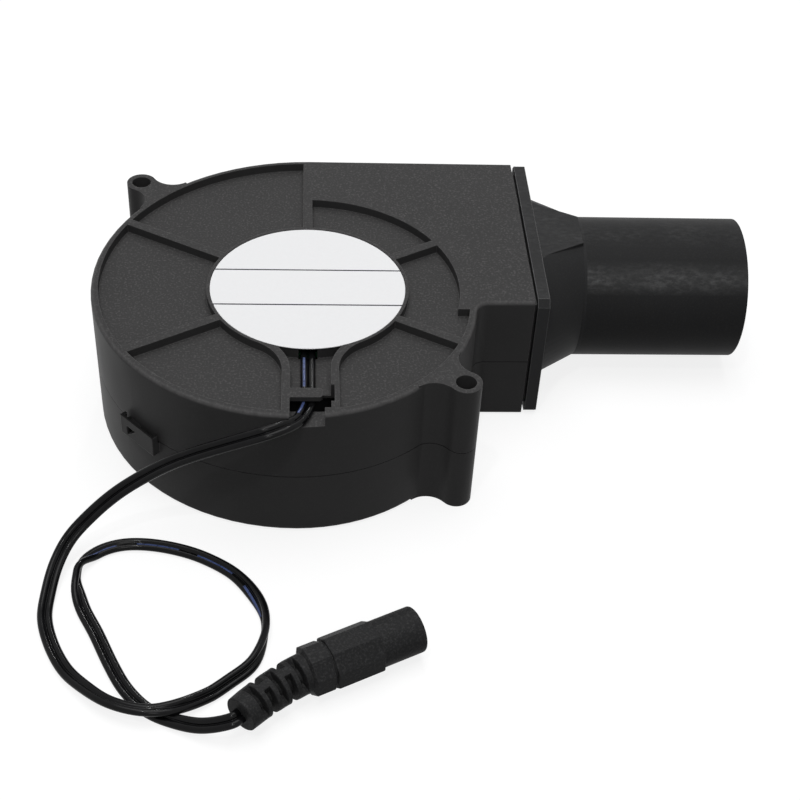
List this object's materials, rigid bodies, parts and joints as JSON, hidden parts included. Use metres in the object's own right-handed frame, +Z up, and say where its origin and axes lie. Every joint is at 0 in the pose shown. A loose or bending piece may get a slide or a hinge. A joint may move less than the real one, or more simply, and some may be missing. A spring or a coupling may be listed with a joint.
{
  "type": "centrifugal blower",
  "caption": "Flat snail-shaped centrifugal blower with a round inlet underneath, a push-on outlet adapter ending in a round pipe, and a twin lead with an inline power jack.",
  "frame": {"origin": "centre of the air inlet, on the flat inlet face, on the impeller axis", "axes": "+X the way the air leaves the outlet, +Y to the straight back wall, +Z up along the motor axis to the labelled motor side"},
  "size_m": [0.1553, 0.1502, 0.033],
  "materials": {
    "housing_plastic": "fine moulded grain, matte",
    "adapter_plastic": "smooth moulded plastic with light scuffs",
    "label_film": "plain white label film",
    "brass": "turned",
    "lamination": "stacked sheet edges",
    "frame_plastic": "plain moulded",
    "copper": "enamelled wire",
    "board": "solder mask",
    "component_plastic": "moulded cases",
    "steel": "ground",
    "yoke_steel": "deep drawn",
    "magnet": "bonded magnet",
    "impeller_plastic": "plain moulded",
    "wire_sheath": "smooth shiny sheath",
    "jack_plastic": "fine moulded grain",
    "contact_metal": "plated"
  },
  "bodies": {
    "housing": {"motor_housing": "housing_plastic", "inlet_housing": "housing_plastic", "outlet_adapter": "adapter_plastic", "motor_label": "label_film", "bearing_tube": "brass", "stator_core": "lamination", "stator_insulators": "frame_plastic", "stator_windings": "copper", "circuit_board": "board", "circuit_components": "component_plastic", "upper_bearing_outer_race": "steel", "lower_bearing_outer_race": "steel", "lead_wires": "wire_sheath", "lead_cord": "wire_sheath", "jack_body": "jack_plastic", "jack_insulator": "jack_plastic", "jack_centre_pin": "contact_metal", "jack_sleeve_contact": "contact_metal"},
    "rotor": {"impeller": "impeller_plastic", "rotor_yoke": "yoke_steel", "rotor_magnet": "magnet", "hub_bush": "brass", "shaft": "steel", "upper_bearing_inner_race": "steel", "lower_bearing_inner_race": "steel", "retaining_clip": "steel", "preload_spring": "steel"},
    "upper_balls": {"upper_bearing_balls": "steel"},
    "lower_balls": {"lower_bearing_balls": "steel"}
  },
  "joints": [
    {"name": "rotor_spin", "type": "hinge", "parent": "housing", "child": "rotor", "pos_m": [0, 0, 0], "axis": [0, 0, 1], "continuous": true},
    {"name": "upper_ball_orbit", "type": "hinge", "parent": "housing", "child": "upper_balls", "pos_m": [0, 0, 0], "axis": [0, 0, 1], "continuous": true},
    {"name": "lower_ball_orbit", "type": "hinge", "parent": "housing", "child": "lower_balls", "pos_m": [0, 0, 0], "axis": [0, 0, 1], "continuous": true}
  ],
  "couplings": [
    {"joint": "upper_ball_orbit", "follows": "rotor_spin", "ratio": 0.36364},
    {"joint": "lower_ball_orbit", "follows": "rotor_spin", "ratio": 0.36364}
  ]
}
